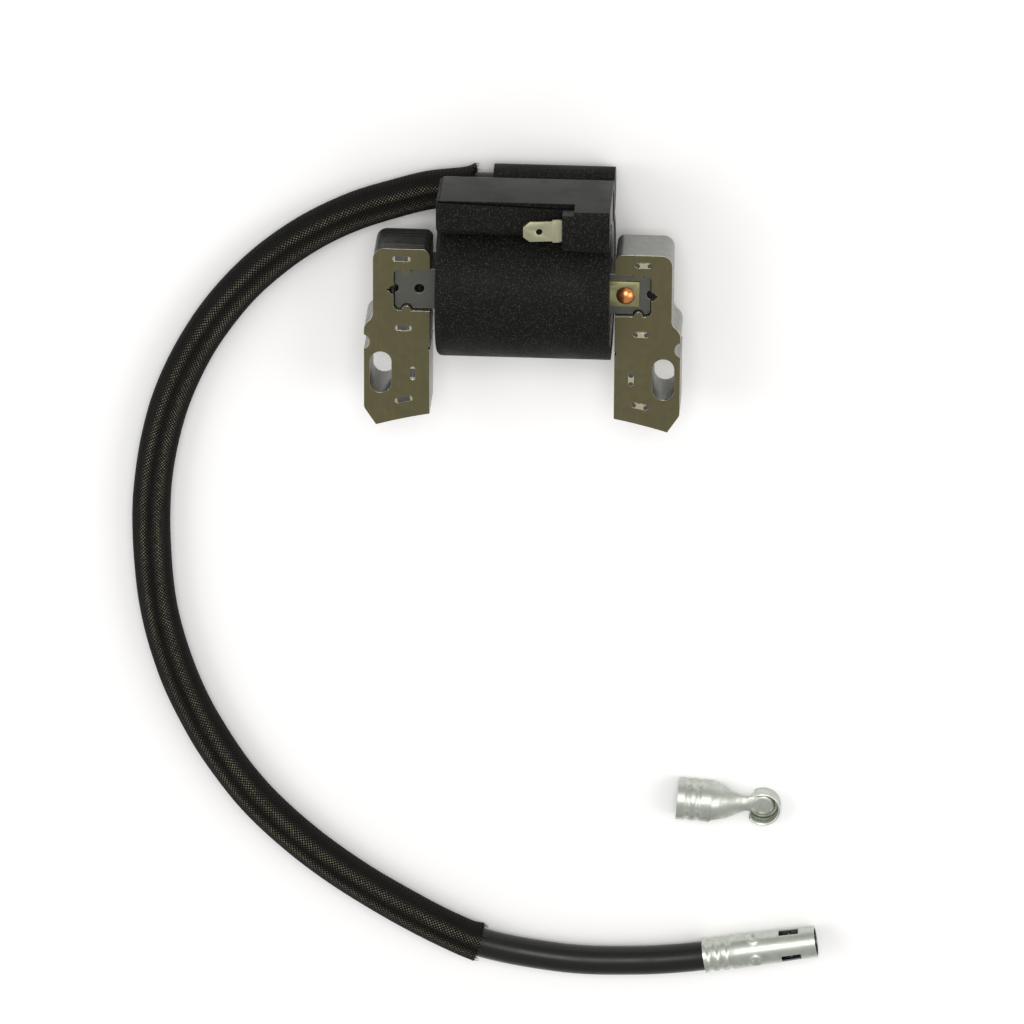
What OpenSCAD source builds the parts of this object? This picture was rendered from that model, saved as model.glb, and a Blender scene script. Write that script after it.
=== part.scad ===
// Small-engine ignition coil: potted coil case on a laminated core with two legs,
// a high-tension lead in a braided sleeve, a plug terminal, and a loose spare terminal.
// Millimetres. X runs along the core bar, Y points away from the flywheel, Z is up from the
// flat back of the case. The bar axis is at Y = 0.

/* [Core] */
// Distance between the two mounting-slot centres
slot_spacing = 66; // [58:0.5:80]
// Thickness of the lamination stack of each leg
stack_h = 12.7; // [9:0.1:16]
// Distance from a slot centre to the inner face of its leg
leg_inset = 11.45; // [10:0.05:14]
// Radius of the flywheel arc cut into the pole faces
pole_radius = 116; // [90:1:160]
// Distance from a slot centre to the pole face
pole_drop = 13; // [11:0.1:17]
// Width of a mounting slot
slot_w = 5.1; // [4:0.1:6.6]
// Full length of a mounting slot
slot_len = 10.4; // [7:0.1:13]
// Height of the core bar across the plane of the legs
bar_w = 10.1; // [8:0.1:12.5]
// Thickness of the core bar stack
bar_t = 10.3; // [8:0.1:12.4]

/* [Case] */
// Gap between the open end of the case and the leg beside it
case_gap = 0.9; // [0.4:0.1:2]
// Gap between the closed end of the case and the leg beside it
end_gap = 1.7; // [0.4:0.1:3]
// Thickness of the round belly
belly_wall = 2.2; // [1.4:0.1:4]
// Height of the upper box front above the bar axis
box_h = 13; // [10.8:0.1:16]
// Depth of the upper box, from its step above the belly to its end face
box_depth = 9.2; // [7.6:0.1:14]
// Wall thickness of the case
wall = 1.5; // [1:0.1:1.8]
// Height of the terminal boss above the box front
boss_h = 5; // [4:0.1:8]
// Wall of the lead outlet tube
tube_wall = 2; // [1:0.1:2]

/* [Windings] */
// Radial depth of the primary winding
primary_depth = 1.7; // [1.2:0.1:2.2]
// Radial depth of the secondary winding
secondary_depth = 2; // [1.5:0.1:2.5]
// Thickness of the insulation between the windings
film_t = 0.4; // [0.2:0.1:0.8]

/* [Lead] */
// Outside diameter of the high-tension lead
lead_d = 7; // [5:0.1:8.4]
// Thickness of the braided sleeve
sleeve_t = 0.85; // [0.5:0.05:1.1]
// Diameter of the stranded conductor
wire_d = 1.8; // [1:0.1:2.4]
// Length of the plug terminal
plug_len = 27.3; // [22:0.1:34]

/* [Terminals] */
// Width of the stop-switch blade
blade_w = 4.8; // [4:0.1:6.3]
// Thickness of the stop-switch blade
blade_t = 0.8; // [0.5:0.1:1]
// Radius of the copper rivet head
rivet_r = 2.15; // [1.6:0.05:2.8]
// Inside radius of the spare terminal's ring clip
cup_r = 3.6; // [3.2:0.05:4.2]
// Height of the spare terminal's ring clip
clip_h = 3.9; // [2:0.1:5]
// Outside radius of the spare terminal's crimp barrel
barrel_r = 5.1; // [4.2:0.1:6]
// Sheet thickness of the spare terminal
sheet_t = 0.5; // [0.3:0.05:0.7]

/* [Hidden] */
$fn = 64;

e = 0.01;
// clearances
bar_fit = 0.15;
tunnel_fit = 0.1;
bore_fit = 0.1;
// tunnel for the bar, and the radii that grow from it
tun_w = bar_w / 2 + tunnel_fit;
tun_t = bar_t / 2 + tunnel_fit;
tun_wall = 0.9;
spool_r = norm([tun_w + tun_wall, tun_t + tun_wall]) + 0.07;
prim_r = spool_r + 0.7;
film_r = prim_r + primary_depth + 0.1;
sspool_r = film_r + film_t;
sec_r = sspool_r + 0.6;
coil_r = sec_r + secondary_depth + 0.3;
cav_r = coil_r + 0.7;
belly_r = cav_r + belly_wall;
axis_h = coil_r + wall;
// legs
slot_x = slot_spacing / 2;
leg_in = slot_x - leg_inset;
leg_zb = axis_h - stack_h / 2;
leg_up = slot_x + 1.8;
leg_out = slot_x + 3.9;
slot_y = -20.9;
pocket_h = bar_w / 2 + bar_fit;
leg_top = pocket_h + 5.1;
pocket_x = slot_x - 3;
bar_end = pocket_x - bar_fit;
lug_x = slot_x - 6;
pole_y = slot_y - pole_drop;
pole_c = pole_y - sqrt(pole_radius * pole_radius - slot_x * slot_x);
// case
case_x0 = end_gap - leg_in;
case_x1 = leg_in - case_gap;
cav_x0 = case_x0 + wall;
pot_x1 = case_x1 - 0.2;
coil_x = case_x1 - 3.65;
tun_x1 = coil_x + 0.4;
box_top = axis_h + box_h;
box_in = cav_r + 1;
box_y = box_in + box_depth;
box_zr = axis_h - 1.5;
box_r = 3.3;
box_edge = 2.8;
boss_x0 = case_x1 - 10.95;
tube_y = 19.95;
tube_z = 6.5;
bore_r = lead_d / 2 + bore_fit;
tube_r = bore_r + tube_wall;
tube_x0 = -7.6;
bore_x1 = 6;
sleeve_r0 = lead_d / 2 + 0.25;
sleeve_r1 = sleeve_r0 + sleeve_t;
ht_x = coil_x - 4;
pin_x1 = ht_x + 1;
// tabs
tab_t = 0.8;
tab_z = axis_h + bar_t / 2;
tab_x0 = tun_x1 + 0.2;
rivet_x = slot_x - 9;
blade_z = box_top + 2.4;
blade_y = box_y - 5.5;
// circuit board
board_x0 = cav_x0 + 3.15;
board_x1 = boss_x0 + 4.5;
board_y0 = box_in + wall + 0.3;
board_y1 = board_y0 + 1.2;
board_z0 = box_zr - box_r + wall + 0.6;
board_z1 = box_top - wall - 0.9;
wire_x = coil_x + 1;
wire_y = board_y0 + 0.6;

// Centre line of the lead, from the bottom of the outlet bore to inside the plug terminal
route = [[5, 19.95, 6.5], [-7.6, 19.95, 6.5], [-12, 19.8, 6.2], [-17, 19.3, 5.7], [-23, 18.2, 5.1],
  [-30, 16, 4.7], [-40, 12.4, 4.7], [-50, 7.1, 4.7], [-59, 0.4, 4.7], [-67, -7.5, 4.7],
  [-74, -16.8, 4.7], [-79.5, -26.5, 4.7], [-84, -37.5, 4.7], [-87, -49.5, 4.7],
  [-88.6, -62, 4.7], [-88.7, -75, 4.7], [-87.5, -89.5, 4.7], [-84.6, -102.5, 4.7],
  [-80, -115.2, 4.7], [-73, -128.5, 4.7], [-64, -141, 4.7], [-52.5, -152.3, 4.7],
  [-40, -161.8, 4.7], [-26, -170.4, 4.7], [-16, -175.6, 4.7], [-10.5, -177.8, 4.5],
  [0, -180.3, 4.1], [14, -181.9, 4.1], [29, -181.6, 4.1], [40, -180.5, 4.1], [50, -178.8, 4.1]];
sleeve_from = 2;
sleeve_to = 25;
plug_at = [44.2, -179.85, 4.1];
plug_turn = 10;
spare_at = [57.66, -140.38, 0];
barrel_rise = 1.75;
neck_rise = 0.9;
spare_turn = -4.3;

function arc(cx, cy, r, a0, a1, n) =
  [for (i = [0:n]) let (a = a0 + (a1 - a0) * i / n) [cx + r * cos(a), cy + r * sin(a)]];
function unit(v) = v / norm(v);
function tangent(p, i) =
  unit((i == 0 ? p[0] : p[i - 1]) * -1 + (i == len(p) - 1 ? p[i] : p[i + 1]));
function ring(p, i, r, m) =
  let (t = tangent(p, i), s = unit(cross([0, 0, 1], t)), u = cross(t, s))
  [for (k = [0:m - 1]) let (a = 360 * k / m) p[i] + r * (cos(a) * s + sin(a) * u)];

// Round section carried along a line of points, solid, or hollow when ri is above zero
module swept(p, ro, ri = 0, m = 8) {
  n = len(p);
  outer = [for (i = [0:n - 1]) each ring(p, i, ro, m)];
  inner = ri > 0 ? [for (i = [0:n - 1]) each ring(p, i, ri, m)] : [];
  b = n * m;
  out_f = [for (i = [0:n - 2], k = [0:m - 1])
    let (q = (k + 1) % m, c = i * m, d = c + m)
    each [[c + k, d + k, d + q], [c + k, d + q, c + q]]];
  in_f = ri > 0 ? [for (i = [0:n - 2], k = [0:m - 1])
    let (q = (k + 1) % m, c = b + i * m, d = c + m)
    each [[c + k, d + q, d + k], [c + k, c + q, d + q]]] : [];
  l = (n - 1) * m;
  caps = ri > 0 ? [for (k = [0:m - 1]) let (q = (k + 1) % m)
    each [[k, q, b + q], [k, b + q, b + k],
      [l + q, l + k, b + l + k], [l + q, b + l + k, b + l + q]]]
    : [[for (k = [0:m - 1]) k], [for (k = [0:m - 1]) l + m - 1 - k]];
  polyhedron(points = concat(outer, inner), faces = concat(out_f, in_f, caps));
}

module along_x(x0, x1, y, z, r) {
  translate([x0, y, z]) rotate([0, 90, 0]) cylinder(h = x1 - x0, r = r);
}

module block(x0, x1, y0, y1, z0, z1) {
  translate([x0, y0, z0]) cube([x1 - x0, y1 - y0, z1 - z0]);
}

// ---- Core ----

// Right-hand leg in plan, before the pocket, slot and pole face are cut
module leg_plan() {
  polygon(concat(
    arc(leg_in + 1.8, leg_top - 1.8, 1.8, 180, 90, 6),
    arc(leg_up - 2.6, leg_top - 2.6, 2.6, 90, 0, 7),
    arc(slot_x + 4.4, -6, 2.6, 180, 230, 4),
    arc(slot_x + 1.3, -10.2, 2.6, 50, 0, 4),
    [[leg_out, pole_y + 4.2], [leg_out - 0.25, pole_y + 3.6], [leg_out - 3.6, pole_y - 1.5],
      [leg_in, pole_y - 1.5]]));
}

// Plan of the bar, or with a gap round it the plan of the pocket that takes it
module bar_plan(gap) {
  x = bar_end + gap;
  y = bar_w / 2 + gap;
  r = 1.2 + gap;
  translate([-x + r, -y]) square([2 * x - 2 * r, 2 * y]);
  translate([-x, -y + r]) square([2 * x, 2 * y - 2 * r]);
  for (i = [-1, 1], j = [-1, 1]) translate([i * (x - r), j * (y - r)]) circle(r = r, $fn = 32);
}

module leg_cut() {
  // pressed-on pocket for the bar, with the two staking lugs left standing
  difference() {
    translate([0, 0, leg_zb - 1]) linear_extrude(stack_h + 2) bar_plan(bar_fit);
    for (s = [-1, 1]) translate([lug_x, s * (pocket_h - bar_fit), leg_zb - 2])
      cylinder(h = stack_h + 4, r = 1.05);
  }
  // half of the round hole shared with the end of the bar
  translate([pocket_x, 0, leg_zb - 1]) cylinder(h = stack_h + 2, r = 1.1);
  translate([0, 0, leg_zb - 1]) linear_extrude(stack_h + 2)
    polygon([[pocket_x - 0.2, -1.05], [pocket_x + 1.75, 0], [pocket_x - 0.2, 1.05]]);
  // mounting slot
  for (s = [-1, 1]) translate([slot_x, slot_y + s * (slot_len - slot_w) / 2, leg_zb - 1])
    cylinder(h = stack_h + 2, r = slot_w / 2);
  block(slot_x - slot_w / 2, slot_x + slot_w / 2, slot_y - (slot_len - slot_w) / 2,
    slot_y + (slot_len - slot_w) / 2, leg_zb - 1, leg_zb + stack_h + 1);
  // locating notch in the outer edge
  translate([leg_out + 0.6, -13.3, leg_zb - 1]) cylinder(h = stack_h + 2, r = 1.9);
  // nick in the inner edge
  translate([leg_in, -14.6, leg_zb - 1]) cylinder(h = stack_h + 2, r = 0.45, $fn = 24);
  // pole face, concentric with the flywheel
  translate([0, pole_c, leg_zb - 1]) cylinder(h = stack_h + 2, r = pole_radius, $fn = 180);
}

// One interlock mark lying along X: its middle, or its two round ends
module mark(l, ends, z0, z1) {
  if (ends) for (k = [-1, 1]) translate([k * (l / 2 - 0.6), 0, z0])
    cylinder(h = z1 - z0, r = 0.6, $fn = 24);
  else block(0.6 - l / 2, l / 2 - 0.6, -0.65, 0.65, z0, z1);
}

// Interlock marks: dents on one face of the stack, bosses on the other
module marks(ends, z0, z1) {
  translate([slot_x - 4.85, leg_top - 2.5, 0]) mark(4.2, ends, z0, z1);
  translate([slot_x - 5.3, -pocket_h - 4.4, 0]) mark(3.9, ends, z0, z1);
  translate([slot_x - 7.5, slot_y - 0.1, 0]) rotate([0, 0, 90]) mark(3.4, ends, z0, z1);
  translate([slot_x - 5.4, pole_y + 6.2, 0]) rotate([0, 0, -12]) mark(4.2, ends, z0, z1);
}

module leg(dents_up) {
  zt = leg_zb + stack_h;
  difference() {
    union() {
      translate([0, 0, leg_zb]) linear_extrude(stack_h) leg_plan();
      if (!dents_up) marks(false, zt - e, zt + 0.4);
      if (dents_up) marks(false, leg_zb - 0.4, leg_zb + e);
    }
    leg_cut();
    if (dents_up) {
      marks(false, zt - 0.5, zt + 1);
      marks(true, zt - 0.2, zt + 1);
      marks(true, leg_zb - 1, leg_zb + 0.3);
    } else {
      marks(true, zt - 0.3, zt + 1);
      marks(false, leg_zb - 1, leg_zb + 0.5);
      marks(true, leg_zb - 1, leg_zb + 0.2);
    }
  }
}

module left_leg() {
  color("#6b6548") mirror([1, 0, 0]) leg(true);
}

module right_leg() {
  color("#6b6548") leg(false);
}

module core_bar() {
  color("#55564f") difference() {
    translate([0, 0, axis_h - bar_t / 2]) linear_extrude(bar_t) bar_plan(0);
    for (s = [-1, 1]) {
      translate([s * pocket_x, 0, 0]) cylinder(h = 60, r = 1.1);
      translate([s * rivet_x, 0, 0]) cylinder(h = 60, r = 1.1);
      for (q = [-1, 1]) translate([s * lug_x, q * (pocket_h - bar_fit), 0]) cylinder(h = 60, r = 1.2);
    }
  }
}

module ground_tab() {
  color("#c9c48f") difference() {
    union() {
      block(tab_x0, rivet_x + 3.2, -2.8, 3.4, tab_z, tab_z + tab_t);
      block(tab_x0, tab_x0 + tab_t, -1.2, 1.8, tab_z, tab_z + 2.6);
    }
    translate([rivet_x, 0, 0]) cylinder(h = 60, r = 1.15);
  }
}

module ground_rivet() {
  color("#c8762f") translate([rivet_x, 0, 0]) {
    translate([0, 0, tab_z - 8]) cylinder(h = 8 + tab_t, r = 1.08);
    translate([0, 0, tab_z + tab_t]) intersection() {
      cylinder(h = 1.3, r = rivet_r);
      translate([0, 0, 1.3 - 2.6]) sphere(r = 2.6);
    }
  }
}

// ---- Case ----

module case_outline() {
  intersection() {
    translate([0, axis_h]) circle(r = belly_r);
    translate([-40, 0]) square([80, 60]);
  }
  translate([8, box_zr]) square([box_in - 8, 8]);
  translate([box_in + box_edge, box_zr]) square([box_y - box_in - box_edge, box_top - box_zr]);
  translate([box_in, box_zr]) square([box_edge + 1, box_top - box_edge - box_zr]);
  translate([box_in + box_edge, box_top - box_edge]) circle(r = box_edge);
  translate([8, box_zr - box_r]) square([box_y - 8 - box_r, box_r + 1]);
  translate([box_y - box_r, box_zr]) circle(r = box_r);
}

module cavity_outline() {
  intersection() {
    translate([0, axis_h]) circle(r = cav_r);
    translate([-40, wall - 0.1]) square([80, 60]);
  }
  translate([8, box_zr]) square([box_y - wall - 8, 7.5]);
  translate([box_in + wall, box_zr]) square([box_y - wall - box_in - wall, box_h - wall + 1.5]);
  translate([8, box_zr - box_r + wall]) square([box_y - 8 - box_r, 3]);
}

module extrude_x(x0, x1) {
  translate([x0, 0, 0]) rotate([90, 0, 90]) linear_extrude(x1 - x0) children();
}

module boss() {
  block(boss_x0 + 2.7, case_x1, box_in - 0.6, box_y, box_top - 3, box_top + boss_h);
  block(boss_x0, boss_x0 + 2.8, box_in - 0.3, box_y - 1, box_top - 3, box_top + boss_h);
}

// The part of the stop blade held inside the boss and the box
module blade_tail() {
  block(boss_x0 - e, board_x1 + blade_t, blade_y - blade_w / 2, blade_y + blade_w / 2,
    blade_z, blade_z + blade_t);
  block(board_x1, board_x1 + blade_t, blade_y - 1.2, blade_y + 1.2, box_top - 7, blade_z + e);
}

module ht_wire_shape(r) {
  reach = norm([tube_y, axis_h - tube_z]) - coil_r + 0.3;
  translate([ht_x, tube_y, tube_z]) rotate([atan2(tube_y, axis_h - tube_z), 0, 0])
    translate([0, 0, 0.9]) cylinder(h = reach - 0.9, r = r);
}

module case() {
  color("#232323") difference() {
    union() {
      difference() {
        union() {
          extrude_x(case_x0, case_x1) case_outline();
          boss();
        }
        extrude_x(cav_x0, case_x1 + 1) cavity_outline();
      }
      block(cav_x0 - e, tun_x1, -tun_w - tun_wall, tun_w + tun_wall,
        axis_h - tun_t - tun_wall, axis_h + tun_t + tun_wall);
      along_x(tube_x0, case_x1, tube_y, tube_z, tube_r);
    }
    block(case_x0 - 1, case_x1 + 1, -tun_w, tun_w, axis_h - tun_t, axis_h + tun_t);
    along_x(tube_x0 - 1, bore_x1, tube_y, tube_z, bore_r);
    along_x(bore_x1 - 1, pin_x1, tube_y, tube_z, 0.95);
    along_x(case_x0 - 1, tube_x0, tube_y - 0.1, tube_z - 0.2, sleeve_r1 + 0.6);
    blade_tail();
    ht_wire_shape(0.4);
  }
}

module potting() {
  color("#3a3934") difference() {
    extrude_x(cav_x0, pot_x1) cavity_outline();
    block(cav_x0 - 1, tun_x1, -tun_w - tun_wall, tun_w + tun_wall,
      axis_h - tun_t - tun_wall, axis_h + tun_t + tun_wall);
    block(tun_x1 - 1, pot_x1 + 1, -tun_w, tun_w, axis_h - tun_t, axis_h + tun_t);
    along_x(tube_x0, case_x1, tube_y, tube_z, tube_r);
    difference() {
      along_x(-coil_x, coil_x, 0, axis_h, coil_r);
      along_x(-coil_x - 1, coil_x + 1, 0, axis_h, spool_r);
    }
    block(tab_x0, rivet_x, -2.8, 3.4, tab_z - 1, tab_z + tab_t);
    block(tab_x0, tab_x0 + tab_t, -1.2, 1.8, tab_z, tab_z + 2.6);
    blade_tail();
    circuit_board_shape();
    transistor_shape();
    chip_shape();
    resistor_shape();
    ground_wire_shape();
    primary_wire_shape();
    ht_wire_shape(0.4);
  }
}

module stop_tab() {
  color("#cfcfae") difference() {
    union() {
      blade_tail();
      translate([boss_x0, blade_y, blade_z]) rotate([0, 8, 0]) {
        block(-2.4, 0.02, -blade_w / 2 - 0.35, blade_w / 2 + 0.35, 0, blade_t);
        linear_extrude(blade_t) polygon([[-2.3, -blade_w / 2], [-2.3, blade_w / 2],
          [-7.7, blade_w / 2], [-9.2, blade_w / 2 - 1.2], [-9.2, -blade_w / 2 + 1.2],
          [-7.7, -blade_w / 2]]);
      }
    }
    translate([boss_x0, blade_y, blade_z]) rotate([0, 8, 0]) translate([-5.5, 0, -1])
      cylinder(h = 3, r = 0.75);
  }
}

// ---- Inside the potting ----

// Spool turned about the bar axis: tube from r0 to r1, flanges out to r2 at the given stations
module spool(r0, r1, r2, stations) {
  difference() {
    union() {
      along_x(-coil_x, coil_x, 0, axis_h, r1);
      for (s = stations) along_x(s[0], s[1], 0, axis_h, r2);
    }
    along_x(-coil_x - 1, coil_x + 1, 0, axis_h, r0);
  }
}

module annulus(x0, x1, r0, r1) {
  difference() {
    along_x(x0, x1, 0, axis_h, r1);
    along_x(x0 - 1, x1 + 1, 0, axis_h, r0);
  }
}

module primary_bobbin() {
  color("#d8d2c0") difference() {
    spool(spool_r, prim_r, film_r, [[-coil_x, -coil_x + 1], [coil_x - 1, coil_x]]);
    primary_wire_shape();
  }
}

module primary_winding() {
  color("#b5652a") annulus(-coil_x + 1, coil_x - 1, prim_r, prim_r + primary_depth);
}

module layer_insulation() {
  color("#c8b26a") annulus(-coil_x, coil_x, film_r, sspool_r);
}

sec = [for (i = [0:4]) -coil_x + i * (2 * coil_x - 1) / 4];

module secondary_bobbin() {
  color("#d8d2c0") spool(sspool_r, sec_r, coil_r, [for (s = sec) [s, s + 1]]);
}

module secondary_winding() {
  color("#a85a24") for (i = [0:3]) annulus(sec[i] + 1, sec[i + 1], sec_r, sec_r + secondary_depth);
}

module circuit_board_shape() {
  block(board_x0, board_x1, board_y0, board_y1, board_z0, board_z1);
}

module circuit_board() {
  color("#2f6b3a") circuit_board_shape();
}

module transistor_shape() {
  block(board_x0 + 1.5, board_x0 + 9.5, board_y1, board_y1 + 3, board_z0 + 1.3, board_z0 + 10.8);
}

module power_transistor() {
  color("#1d1d1f") transistor_shape();
}

module chip_shape() {
  block(board_x0 + 10.5, board_x0 + 15, board_y1, board_y1 + 1.5, board_z0 + 3, board_z0 + 8);
}

module control_chip() {
  color("#1d1d1f") chip_shape();
}

module resistor_shape() {
  translate([board_x1 - 1.3, board_y1 + 1, board_z0 + 2]) cylinder(h = 7, r = 1);
}

module base_resistor() {
  color("#c9a877") resistor_shape();
}

module along_y(x, y0, y1, z, r) {
  translate([x, y0, z]) rotate([-90, 0, 0]) cylinder(h = y1 - y0, r = r);
}

module ground_wire_shape() {
  z1 = tab_z + 1.75;
  z0 = axis_h + 3;
  y1 = coil_r - 3.5;
  along_y(wire_x, 1.8, y1, z1, 0.4);
  translate([wire_x, y1, z1]) sphere(r = 0.4);
  translate([wire_x, y1, z0]) cylinder(h = z1 - z0, r = 0.4);
  translate([wire_x, y1, z0]) sphere(r = 0.4);
  along_y(wire_x, y1, wire_y, z0, 0.4);
  translate([wire_x, wire_y, z0]) sphere(r = 0.4);
  along_x(board_x1, wire_x, wire_y, z0, 0.4);
}

module ground_wire() {
  color("#3a7a3c") ground_wire_shape();
}

module primary_wire_shape() {
  y0 = prim_r + 0.9;
  along_x(coil_x - 1, wire_x, y0, axis_h, 0.35);
  translate([wire_x, y0, axis_h]) sphere(r = 0.35);
  along_y(wire_x, y0, wire_y, axis_h, 0.35);
  translate([wire_x, wire_y, axis_h]) sphere(r = 0.35);
  along_x(board_x1, wire_x, wire_y, axis_h, 0.35);
}

module primary_wire() {
  color("#b5652a") primary_wire_shape();
}

module ht_contact_pin() {
  color("#c9a23c") along_x(bore_x1 - 1, pin_x1, tube_y, tube_z, 0.9);
}

module ht_wire() {
  color("#a85a24") ht_wire_shape(0.38);
}

// ---- High-tension lead ----

module lead_insulation() {
  color("#1a1a1a") swept(route, lead_d / 2, wire_d / 2 + 0.1);
}

module lead_conductor() {
  color("#b5652a") swept(route, wire_d / 2);
}

module lead_sleeve() {
  color("#2b2822") swept([for (i = [sleeve_from:sleeve_to]) route[i]],
    sleeve_r1, sleeve_r0);
}

module plug_terminal() {
  r1 = lead_d / 2 + 0.6;
  r2 = lead_d / 2 + 0.25;
  color("#c3c6c2") translate(plug_at) rotate([0, 0, plug_turn]) difference() {
    union() {
      rotate([0, 90, 0]) cylinder(h = 8, r = r1);
      translate([8 - e, 0, 0]) rotate([0, 90, 0]) cylinder(h = plug_len - 8 + e, r1 = r1, r2 = r2);
    }
    translate([-1, 0, 0]) rotate([0, 90, 0]) cylinder(h = 9.2, r = lead_d / 2 + 0.12);
    translate([8, 0, 0]) rotate([0, 90, 0]) cylinder(h = plug_len, r = r2 - 0.45);
    for (x = [1.6, 3.9, 6.2]) translate([x, 0, 0]) rotate([0, 90, 0])
      rotate_extrude() translate([r1 + 0.35, 0]) circle(r = 0.6);
    for (a = [-84, 36, 156]) rotate([a, 0, 0])
      block(plug_len - 8.5, plug_len - 3.9, -1.1, 1.1, r2 - 1.6, r1 + 1);
  }
}

module plug_terminal_spring() {
  color("#5a5c5a") translate(plug_at) rotate([0, 0, plug_turn]) translate([plug_len - 6.2, 0, 0])
    rotate([0, 90, 0]) rotate([0, 0, 30]) rotate_extrude(angle = 300)
      translate([lead_d / 2 - 0.72, 0]) circle(r = 0.45);
}

// ---- Loose spare terminal ----

// Open shell round an axis along X at height rise, cut off flat where it rests
module half_shell(u0, u1, r0, r1, t, rise) {
  difference() {
    translate([u0, 0, rise]) rotate([0, 90, 0]) cylinder(h = u1 - u0, r1 = r0, r2 = r1);
    translate([u0 - e, 0, rise]) rotate([0, 90, 0])
      cylinder(h = u1 - u0 + 2 * e, r1 = r0 - t, r2 = r1 - t);
    translate([u0 - 1, -20, -40]) cube([u1 - u0 + 2, 40, 40]);
  }
}

module spare_terminal() {
  color("#c3c6c2") translate(spare_at) rotate([0, 0, spare_turn]) {
    half_shell(-20.7, -12.5, barrel_r, barrel_r, sheet_t, barrel_rise);
    half_shell(-12.8, -3.9, barrel_r + 0.7, 1.55, sheet_t, neck_rise);
    half_shell(-3.9 - e, -cup_r + 0.9, 1.55, 1.4, sheet_t, neck_rise);
    translate([0, 0, 0.2]) cylinder(h = sheet_t, r = cup_r);
    translate([0, 0, 0.2]) cylinder(h = 2 * sheet_t + 0.1, r = cup_r - 0.85);
  }
}

module spare_terminal_ring() {
  color("#8d908c") translate(spare_at) rotate([0, 0, spare_turn]) rotate([0, 0, 222])
    rotate_extrude(angle = 262) translate([cup_r + 0.02, 0]) square([0.6, clip_h]);
}

case();
potting();
left_leg();
right_leg();
core_bar();
ground_tab();
ground_rivet();
stop_tab();
primary_bobbin();
primary_winding();
layer_insulation();
secondary_bobbin();
secondary_winding();
circuit_board();
power_transistor();
control_chip();
base_resistor();
ground_wire();
primary_wire();
ht_contact_pin();
ht_wire();
lead_insulation();
lead_conductor();
lead_sleeve();
plug_terminal();
plug_terminal_spring();
spare_terminal();
spare_terminal_ring();
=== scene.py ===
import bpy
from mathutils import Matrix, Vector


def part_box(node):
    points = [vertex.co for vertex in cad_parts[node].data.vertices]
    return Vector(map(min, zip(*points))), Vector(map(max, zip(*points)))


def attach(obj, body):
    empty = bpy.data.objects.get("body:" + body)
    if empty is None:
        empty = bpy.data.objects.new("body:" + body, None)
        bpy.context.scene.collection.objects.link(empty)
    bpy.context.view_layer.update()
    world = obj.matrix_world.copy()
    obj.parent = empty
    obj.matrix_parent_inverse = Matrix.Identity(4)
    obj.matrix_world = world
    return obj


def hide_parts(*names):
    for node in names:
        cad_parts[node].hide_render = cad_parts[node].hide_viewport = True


bl_info = {
    "name": "Small-engine ignition coil",
    "version": (1, 0, 0),
    "blender": (4, 5, 0),
    "location": "View3D > Sidebar > Coil",
    "description": "Ignition coil with laminated legs, sleeved lead and two plug terminals",
    "category": "Object",
}

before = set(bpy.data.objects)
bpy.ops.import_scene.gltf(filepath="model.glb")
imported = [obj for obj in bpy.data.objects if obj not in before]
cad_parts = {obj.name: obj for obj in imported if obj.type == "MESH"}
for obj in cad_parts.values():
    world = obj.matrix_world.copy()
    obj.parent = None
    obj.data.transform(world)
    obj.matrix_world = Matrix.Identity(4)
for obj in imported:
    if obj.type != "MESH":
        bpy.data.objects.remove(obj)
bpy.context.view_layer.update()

import math
import random

import bmesh
import bpy
from bpy.props import FloatProperty, FloatVectorProperty, IntProperty, PointerProperty
from bpy.types import Operator, Panel, PropertyGroup
from mathutils import Matrix, Vector

MM = 0.001
BODY = "coil"
SPARE = "spare"

# Centre line of the lead in millimetres, as the part's source has it
ROUTE = (
    (5, 19.95, 6.5), (-7.6, 19.95, 6.5), (-12, 19.8, 6.2), (-17, 19.3, 5.7), (-23, 18.2, 5.1),
    (-30, 16, 4.7), (-40, 12.4, 4.7), (-50, 7.1, 4.7), (-59, 0.4, 4.7), (-67, -7.5, 4.7),
    (-74, -16.8, 4.7), (-79.5, -26.5, 4.7), (-84, -37.5, 4.7), (-87, -49.5, 4.7),
    (-88.6, -62, 4.7), (-88.7, -75, 4.7), (-87.5, -89.5, 4.7), (-84.6, -102.5, 4.7),
    (-80, -115.2, 4.7), (-73, -128.5, 4.7), (-64, -141, 4.7), (-52.5, -152.3, 4.7),
    (-40, -161.8, 4.7), (-26, -170.4, 4.7), (-16, -175.6, 4.7), (-10.5, -177.8, 4.5),
    (0, -180.3, 4.1), (14, -181.9, 4.1), (29, -181.6, 4.1), (40, -180.5, 4.1), (50, -178.8, 4.1),
)
SLEEVE_SPAN = (2, 25)
PLUG_AT = Vector((44.2, -179.85, 4.1)) * MM
PLUG_TURN = math.radians(10)
SPARE_AT = Vector((57.66, -140.38, 0)) * MM
SPARE_TURN = math.radians(-4.3)
CORE_Z = 16 * MM  # height of the core's axis, as the part's source has it
MERGE_PLANE = 1e-7  # how near to a cutting plane a point counts as on it


# ---- Settings a user would change ----

def length(name, default_mm, text):
    return FloatProperty(name=name, description=text, default=default_mm * MM, min=0,
                         unit="LENGTH", precision=5)


def colour(name, rgb, text):
    return FloatVectorProperty(name=name, description=text, default=rgb, min=0, max=1,
                               size=3, subtype="COLOR")


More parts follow.
